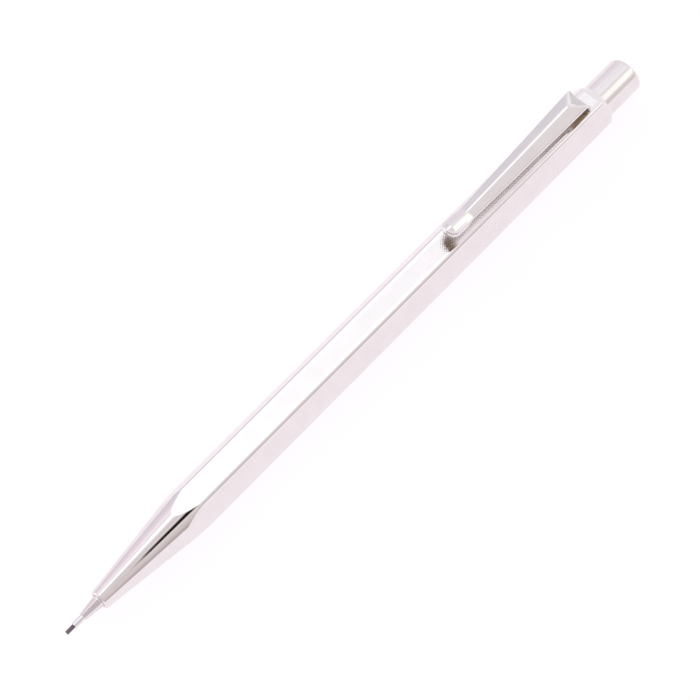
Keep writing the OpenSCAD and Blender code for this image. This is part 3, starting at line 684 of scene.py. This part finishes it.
def clip_mesh():
    lines, neck = clip_lines()
    half = 26
    v = np.sin(np.linspace(-1, 1, 2 * half + 1) * math.pi / 2)
    u, edge, crown, wide, lean, trail = (lines[:, k][:, None] for k in range(6))
    y = v[None, :] * wide
    along = u + crown * roof(v)[None, :] * trail
    rounding = np.clip((u - neck) / (0.5 * PADDLE_LEN), 0, 1) ** 1.5
    to_end = 1 - np.clip((CLIP_LEN - u) / END_SLOPE, 0, 1)
    height = edge + crown * roof(v[None, :], 0.1 + 0.15 * rounding) * np.sqrt(1 - to_end ** 2)
    # distance from the sheet's outline, which rounds the edges and carries the paddle's rim
    rim = np.concatenate([np.column_stack([lines[:, 0], lines[:, 3]]), np.column_stack([lines[:, 0], -lines[:, 3]])])
    flat_places = np.column_stack([np.broadcast_to(u, y.shape).ravel(), y.ravel()])
    delta = np.min(np.hypot(flat_places[:, None, 0] - rim[None, :, 0],
                            flat_places[:, None, 1] - rim[None, :, 1]), axis=1)
    delta = delta.reshape(y.shape)
    delta[:, 0] = delta[:, -1] = 0
    inward = np.clip(1 - delta / RIM_ROUND, 0, 1)
    drop = RIM_ROUND * (1 - np.sqrt(1 - inward ** 2))
    under = np.clip(1 - delta / INNER_ROUND, 0, 1)
    lift = INNER_ROUND * (1 - np.sqrt(1 - under ** 2))
    bead = RIM_BEAD * ease((u - neck - 0.6) / 2.2) * np.exp(-((delta - 0.33) / 0.2) ** 2)
    a = np.radians(lean)
    foot = lines[:, 0][:, None] <= 0
    level = SHEET / math.sin(math.radians(WALL_LEAN))
    down_along, down = np.where(foot, level, SHEET * np.sin(a)), np.where(foot, 0, -SHEET * np.cos(a))
    top = np.stack([along + down_along * drop / SHEET, y, height + bead + down * drop / SHEET], axis=2)
    low = np.stack([along + down_along * (1 - lift / SHEET), y, height + down * (1 - lift / SHEET)], axis=2)
    shape = [np.stack([CLIP_ROOT - p[..., 0], p[..., 1], HALF_FLATS + SEAT_GAP + p[..., 2]], axis=2)
             for p in (top, low)]
    n, m = 2 * half + 1, len(lines)
    points = np.concatenate([shape[0].reshape(-1, 3), shape[1].reshape(-1, 3)])
    o = n * m
    faces = []
    for i in range(m - 1):
        for j in range(n - 1):
            p, q = i * n + j, (i + 1) * n + j
            faces += [[p, q, q + 1, p + 1], [o + p, o + p + 1, o + q + 1, o + q]]
        faces += [[i * n, o + i * n, o + (i + 1) * n, (i + 1) * n],
                  [i * n + n - 1, (i + 1) * n + n - 1, o + (i + 1) * n + n - 1, o + i * n + n - 1]]
    last = (m - 1) * n
    faces.append([j for j in range(n)] + [o + j for j in range(n - 1, -1, -1)])
    faces += [[last + j, o + last + j, o + last + j + 1, last + j + 1] for j in range(n - 1)]

    length, width = TONGUE
    centre_x = CLIP_ROOT - 0.12 - length / 2
    low_z, high_z = HALF_FLATS - WALL + RUN_GAP, HALF_FLATS + 2 * SEAT_GAP
    base = len(points)
    box = [(centre_x + sx * length / 2, sy * width / 2, z) for z in (low_z, high_z) for sx, sy in
           ((-1, -1), (1, -1), (1, 1), (-1, 1))]
    points = np.concatenate([points, np.array(box)])
    faces += [[base + k for k in f] for f in
              ((3, 2, 1, 0), (4, 5, 6, 7), (0, 1, 5, 4), (1, 2, 6, 5), (2, 3, 7, 6), (3, 0, 4, 7))]

    mesh = bpy.data.meshes.new("pocket_clip")
    mesh.from_pydata(to_world(points).tolist(), [], faces)
    work = bmesh.new()
    work.from_mesh(mesh)
    bmesh.ops.remove_doubles(work, verts=work.verts, dist=2e-3 * MM)
    bmesh.ops.recalc_face_normals(work, faces=work.faces)
    work.to_mesh(mesh)
    work.free()
    mesh.polygons.foreach_set("use_smooth", [True] * len(mesh.polygons))
    mesh.set_sharp_from_angle(angle=math.radians(42))
    mesh.materials.append(clip_plating)
    mesh.materials.append(clip_inside)
    for face in mesh.polygons:
        face.material_index = int(face.normal.z < INSIDE_FACING)
    return mesh


new_piece("sprung_clip", "clip", "clip", clip_mesh())


# ---- Tip ----

cone_start, cone_end, cone_body_r = span("tip_cone")
retainer_start, retainer_end, retainer_r = span("lead_retainer")
sleeve_start, sleeve_end, sleeve_r = span("lead_sleeve")
lead_start, lead_end, lead_r = span("lead")
SMALL_R, CONE_RIM = 0.675, 0.25
SLEEVE_WALL = 0.14
RETAINER_SEAT = retainer_start - SEAT_GAP
SEAT = RETAINER_SEAT - SEAT_DEPTH
ROOM_R = 1.3

turned_piece("writing_cone", "barrel", "tip_cone", tip_plating, [[
    (cone_start, sleeve_r + SEAT_GAP, 0.02), (cone_start, SMALL_R, 0.12),
    (NOSE - CONE_RIM - 0.05, CONE_R - 0.06, 0.05), (NOSE - CONE_RIM + 0.02, CONE_R, 0.05),
    (SEAT + 0.05, CONE_R), (SEAT + 0.05, cone_body_r), (cone_end, cone_body_r), (cone_end, ROOM_R),
    (retainer_end + SEAT_GAP, ROOM_R), (retainer_end + SEAT_GAP, retainer_r + SEAT_GAP),
    (RETAINER_SEAT, retainer_r + SEAT_GAP), (RETAINER_SEAT, lead_r + 0.08), (cone_start + 3.5, lead_r + 0.08),
    (cone_start + 3.5, sleeve_r + SEAT_GAP)]], steps=128)
turned_piece("guide_sleeve", "barrel", "lead_sleeve", drawn_steel,
             [tube_section(sleeve_r - SLEEVE_WALL, sleeve_r, sleeve_start, sleeve_end, 0.045)], steps=64)
turned_piece("rubber_retainer", "barrel", "lead_retainer", black_rubber,
             [tube_section(lead_r + SEAT_GAP, retainer_r, retainer_start, retainer_end, 0.12)], steps=64)
turned_piece("writing_lead", "lead", "lead", graphite, [[
    (lead_start, 0), (lead_start, lead_r * 0.8, 0.07), (lead_start + 0.06, lead_r, 0.06), (lead_end, lead_r),
    (lead_end, 0)]], steps=48)


# ---- Chuck and feed ----

ring_start, ring_end, ring_r = span("chuck_ring")
housing_start, housing_end, flange_r = span("chuck_housing")
nut_start = span("housing_nut")[0]
connector_start, _, connector_r = span("chuck_connector")
tube_start, tube_end, tube_r = span("lead_tube")
spring_start, spring_end, spring_r = span("return_spring")
tube_in_r = tube_r - 0.3
FLANGE_LEN = 1.5
FLANGE = nut_start - SEAT_GAP - FLANGE_LEN
PARTITION = ring_end + SEAT_GAP
HOUSING_STEP = PARTITION - STEP_BACK
SPRING_ROOM_R = 1.75
SHANK_R, SHANK_BORE_R, SHANK_HOLE_R = 0.8, 0.5, 0.95
RING_BORE_R = 0.918
CONNECTOR_HEAD = 3.5
SHANK_DEPTH = 4.02           # how far the chuck's shank reaches into the connector

turned_piece("closing_ring", "ring", "chuck_ring", turned_brass, [[
    (ring_start, 1.0), (ring_start, ring_r, 0.15), (ring_end, ring_r, 0.08), (ring_end, RING_BORE_R),
    (ring_start + 0.7, RING_BORE_R, 0.2)]])
turned_piece("mechanism_housing", "barrel", "chuck_housing", nickelled_brass, [[
    (housing_start, cone_body_r + SEAT_GAP), (housing_start, FRONT_R), (HOUSING_STEP + SEAT_GAP, FRONT_R),
    (HOUSING_STEP + SEAT_GAP, REAR_R), (FLANGE, REAR_R), (FLANGE, flange_r), (FLANGE + FLANGE_LEN, flange_r),
    (FLANGE + FLANGE_LEN, REAR_R), (housing_end, REAR_R), (housing_end, SPRING_ROOM_R),
    (spring_start - SEAT_GAP, SPRING_ROOM_R), (spring_start - SEAT_GAP, SHANK_HOLE_R), (PARTITION, SHANK_HOLE_R),
    (PARTITION, ring_r + RUN_GAP),
    (cone_end + SEAT_GAP, ring_r + RUN_GAP), (cone_end + SEAT_GAP, cone_body_r + SEAT_GAP)]])
turned_piece("feed_connector", "plunger", "chuck_connector", white_acetal, [[
    (connector_start, SHANK_R + SEAT_GAP), (connector_start, connector_r, 0.1),
    (connector_start + CONNECTOR_HEAD, connector_r, 0.1), (connector_start + CONNECTOR_HEAD, tube_r),
    (tube_start - SEAT_GAP, tube_r), (tube_start - SEAT_GAP, tube_in_r - SEAT_GAP),
    (tube_start + 3, tube_in_r - SEAT_GAP), (tube_start + 3, tube_in_r - 0.2), (tube_start + 0.5, SHANK_BORE_R),
    (connector_start + SHANK_DEPTH, SHANK_BORE_R), (connector_start + SHANK_DEPTH, SHANK_R + SEAT_GAP)]], steps=64)
turned_piece("magazine_tube", "plunger", "lead_tube", drawn_brass,
             [tube_section(tube_in_r, tube_r, tube_start, tube_end, 0.06)], steps=64)

WIRE_R = 0.15
coil = coil_tree().run(bpy.data.meshes.new("coil"), {
    "Start": (spring_start + LEAD_TIP) * MM, "Length": (spring_end - spring_start) * MM, "Turns": 9.0,
    "Mean Radius": (spring_r - WIRE_R) * MM, "Wire Radius": WIRE_R * MM, "Axis Height": AXIS_Z * MM,
    "Material": spring_wire_steel})
coil.name = "return_coil"
return_coil = new_piece("return_coil", "barrel", "return_spring", coil)
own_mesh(return_coil)


# ---- Button, collar and eraser ----

collar_start, collar_end, collar_flange_r = span("tube_collar")
holder_start, holder_end, holder_r = span("eraser_holder")
eraser_start, eraser_end, eraser_r = span("eraser")
button_start, button_end, button_r = span("button_cap")
liner_start, liner_end, liner_r = span("cap_liner")
LINER_WALL = 0.27
COLLAR_R = liner_r - LINER_WALL - RUN_GAP
COLLAR_FLANGE = tube_end
BUTTON_WALL, BUTTON_TOP, BUTTON_ROUND = 0.42, 0.7, 0.9

turned_piece("push_button", "cap", "button_cap", button_plating, [[
    (button_end - BUTTON_TOP, 0), (button_end - BUTTON_TOP, button_r - BUTTON_WALL, BUTTON_ROUND - BUTTON_WALL),
    (button_start, button_r - BUTTON_WALL, 0.06), (button_start, button_r, 0.12),
    (button_end, button_r, BUTTON_ROUND), (button_end, 0)]], steps=128)
turned_piece("button_liner", "cap", "cap_liner", white_acetal,
             [tube_section(liner_r - LINER_WALL, liner_r, liner_start, liner_end, 0.08)])
turned_piece("brass_collar", "plunger", "tube_collar", turned_brass, [[
    (collar_start, tube_r + SEAT_GAP), (collar_start, COLLAR_R, 0.18), (COLLAR_FLANGE, COLLAR_R),
    (COLLAR_FLANGE, collar_flange_r, 0.08), (COLLAR_FLANGE + 0.8, collar_flange_r, 0.08),
    (COLLAR_FLANGE + 0.8, COLLAR_R), (collar_end, COLLAR_R, 0.18), (collar_end, holder_r + RUN_GAP, 0.08),
    (holder_start - SEAT_GAP, holder_r + RUN_GAP), (holder_start - SEAT_GAP, tube_in_r),
    (tube_end + SEAT_GAP, tube_in_r), (tube_end + SEAT_GAP, tube_r + SEAT_GAP)]])
turned_piece("steel_holder", "eraser", "eraser_holder", drawn_steel, [[
    (holder_start, 0), (holder_start, holder_r, 0.2), (holder_end, holder_r, 0.06),
    (holder_end, holder_r - 0.2, 0.06), (holder_start + 0.6, holder_r - 0.2), (holder_start + 0.6, 0)]])
turned_piece("white_eraser", "eraser", "eraser", eraser_rubber, [[
    (eraser_start, 0), (eraser_start, eraser_r, 0.1), (eraser_end, eraser_r, 0.5), (eraser_end, 0)]])

KEPT_FINISHES = {"chuck": turned_brass, "housing_nut": turned_brass, "front_tube_guide": white_acetal,
                 "rear_tube_guide": white_acetal, "spare_leads": graphite}
for node, material in KEPT_FINISHES.items():
    kept = frame["nodes"][node].data.materials
    kept.clear()
    kept.append(material)


# ---- Floor and light ----

FLOOR_HALF = 3.0
FLOOR_GLOW = (0.89, 0.84, 0.868, 1)
floor_mesh = bpy.data.meshes.new("floor")
floor_mesh.from_pydata([(-FLOOR_HALF, -FLOOR_HALF, 0), (FLOOR_HALF, -FLOOR_HALF, 0), (FLOOR_HALF, FLOOR_HALF, 0),
                        (-FLOOR_HALF, FLOOR_HALF, 0)], [], [(0, 1, 2, 3)])
floor_sheet, floor_tree, floor_shader = new_material("floor_sheet")
paper = grain(floor_tree, (0.05, 0.05, 0.05))
floor_tree.links.new(blend_colours(floor_tree, paper, (0.23, 0.21, 0.23), (0.21, 0.19, 0.21)),
                     floor_shader.inputs["Base Color"])
floor_shader.inputs["Roughness"].default_value = 0.9
floor_shader.inputs["Specular IOR Level"].default_value = 0.0
floor_shader.inputs["Emission Color"].default_value = FLOOR_GLOW
floor_shader.inputs["Emission Strength"].default_value = 1.0
floor_mesh.materials.append(floor_sheet)
floor = bpy.data.objects.new("floor", floor_mesh)
bpy.context.scene.collection.objects.link(floor)

# Soft light around the pencil. Each ring of cards is read across the pencil: 0 degrees is overhead,
# 90 the near side and -90 the far side. From front to back they face its tip, nose, barrel and button.
# A stop is an angle with the red, green and blue of the light there.
FLOOR_SIDE = (78, 1.08, 0.98, 1.04)
NOSE_FAR_SIDE = [(-92, 0.80, 0.72, 0.78), (-60, 0.92, 0.79, 0.86), (-42, 1.08, 0.95, 1.03),
                 (-34, 1.16, 1.02, 1.09), (-30.5, 0.66, 0.58, 0.62), (-27, 1.34, 1.30, 1.32),
                 (-13, 1.34, 1.31, 1.33), (-9, 0.90, 0.84, 0.86), (4, 0.76, 0.68, 0.69)]
# A ring: where it starts along the pencil, half the width of its soft start, and its stops.
RINGS = [
    (None, 0, [(-92, 1.30, 1.26, 1.28), (-56, 1.30, 1.26, 1.28), (-42, 0.96, 0.88, 0.90),
               (-22, 0.66, 0.58, 0.59), (26, 0.66, 0.57, 0.59), (60, 0.66, 0.58, 0.62), (72, 0.80, 0.73, 0.79),
               FLOOR_SIDE]),
    (-0.05, 0.01, NOSE_FAR_SIDE + [
        (12, 0.84, 0.76, 0.77), (24, 0.78, 0.69, 0.69), (40, 0.78, 0.69, 0.68),
        (58, 0.70, 0.61, 0.61), (68, 0.56, 0.48, 0.48), (74, 0.54, 0.46, 0.47), FLOOR_SIDE]),
    (-0.0115, 0.003, NOSE_FAR_SIDE + [
        (12, 0.93, 0.84, 0.85), (17.5, 0.60, 0.52, 0.51), (20, 0.01, 0.008, 0.007),
        (30.5, 0.01, 0.008, 0.007), (33, 0.60, 0.54, 0.53), (36, 0.98, 0.90, 0.88),
        (40, 0.82, 0.73, 0.72), (58, 0.70, 0.61, 0.61), (66, 0.56, 0.48, 0.48),
        (74, 0.54, 0.46, 0.47), FLOOR_SIDE]),
    (0.08, 0.04, [(-92, 0.78, 0.72, 0.80), (-62, 0.84, 0.78, 0.84), (-48, 1.06, 1.02, 1.06),
                  (-40, 1.34, 1.33, 1.35), (-3, 1.34, 1.34, 1.35), (3, 0.92, 0.86, 0.87), (40, 0.88, 0.80, 0.80),
                  (54, 0.62, 0.54, 0.54), (68, 0.56, 0.48, 0.48), FLOOR_SIDE]),
    (0.385, 0.04, [(-92, 0.84, 0.76, 0.84), (-75, 0.92, 0.85, 0.93), (-60, 0.95, 0.86, 0.92),
                   (-36, 1.00, 0.92, 0.97), (-28, 0.92, 0.88, 0.93), (-20, 0.98, 0.93, 0.98),
                   (0, 1.01, 0.97, 0.98), (8, 0.90, 0.86, 0.84), (15, 1.05, 1.02, 0.98), (22, 1.32, 1.29, 1.22),
                   (43, 1.32, 1.29, 1.22), (50, 0.96, 0.90, 0.88), (60, 0.84, 0.76, 0.76),
                   (73, 0.80, 0.71, 0.73), FLOOR_SIDE]),
]
LIGHT = (1.045, 1.05, 1.06)
BELOW_HORIZON = [(112, 0.98, 0.93, 0.96), (150, 0.62, 0.59, 0.61)]
STRAIGHT_DOWN = (0.40, 0.38, 0.40, 1)

world = bpy.data.worlds.new("studio")
bpy.context.scene.world = world
world.use_nodes = True
sky = world.node_tree
direction = add_node(sky, "ShaderNodeSeparateXYZ",
                     {"Vector": add_node(sky, "ShaderNodeTexCoord").outputs["Generated"]}).outputs
nearer = add_node(sky, "ShaderNodeMath", {0: direction["Y"], 1: -1.0}, operation="MULTIPLY").outputs[0]
turn = add_node(sky, "ShaderNodeMath", {0: nearer, 1: direction["Z"]}, operation="ARCTAN2").outputs[0]
share = spread(sky, turn, -math.pi, math.pi, 0.0, 1.0)
light = None
for start, soft, stops in RINGS:
    ramp = add_node(sky, "ShaderNodeValToRGB", {"Fac": share})
    elements = ramp.color_ramp.elements
    elements[0].position, elements[0].color = 0.0, STRAIGHT_DOWN
    elements[1].position, elements[1].color = 1.0, STRAIGHT_DOWN
    for angle, *colour in [(-a, *c) for a, *c in BELOW_HORIZON[::-1]] + stops + BELOW_HORIZON:
        elements.new((angle + 180) / 360).color = (*(c * k for c, k in zip(colour, LIGHT)), 1)
    if light is None:
        light = ramp.outputs["Color"]
        continue
    factor = add_node(sky, "ShaderNodeMapRange", {"Value": direction["X"], "From Min": start - soft,
                                                  "From Max": start + soft},
                      interpolation_type="SMOOTHSTEP").outputs["Result"]
    mix = add_node(sky, "ShaderNodeMix", data_type="RGBA")
    sky.links.new(factor, mix.inputs["Factor"])
    sky.links.new(light, mix.inputs["A"])
    sky.links.new(ramp.outputs["Color"], mix.inputs["B"])
    light = mix.outputs["Result"]
sky.links.new(light, sky.nodes["Background"].inputs["Color"])


# ---- Camera ----

AZIMUTH, ELEVATION, ROLL = (math.radians(d) for d in (-42.15, 62.71, -6.2))
DISTANCE, LENS = 0.533, 168.5
TARGET = Vector((-1.95 * MM, -0.047 * MM, AXIS_Z * MM))
cam = bpy.data.cameras.new("camera")
camera = bpy.data.objects.new("camera", cam)
bpy.context.scene.collection.objects.link(camera)
back = Vector((math.sin(AZIMUTH) * math.cos(ELEVATION), -math.cos(AZIMUTH) * math.cos(ELEVATION),
               math.sin(ELEVATION)))
level = Vector((math.cos(AZIMUTH), math.sin(AZIMUTH), 0))
upright = back.cross(level)
right = level * math.cos(ROLL) + upright * math.sin(ROLL)
up = upright * math.cos(ROLL) - level * math.sin(ROLL)
camera.matrix_world = Matrix.Translation(TARGET + back * DISTANCE) @ Matrix((right, up, back)).transposed().to_4x4()
cam.sensor_width = 36
cam.lens = LENS
cam.clip_start = 0.01
bpy.context.scene.camera = camera
bpy.context.scene.view_settings.view_transform = "Standard"
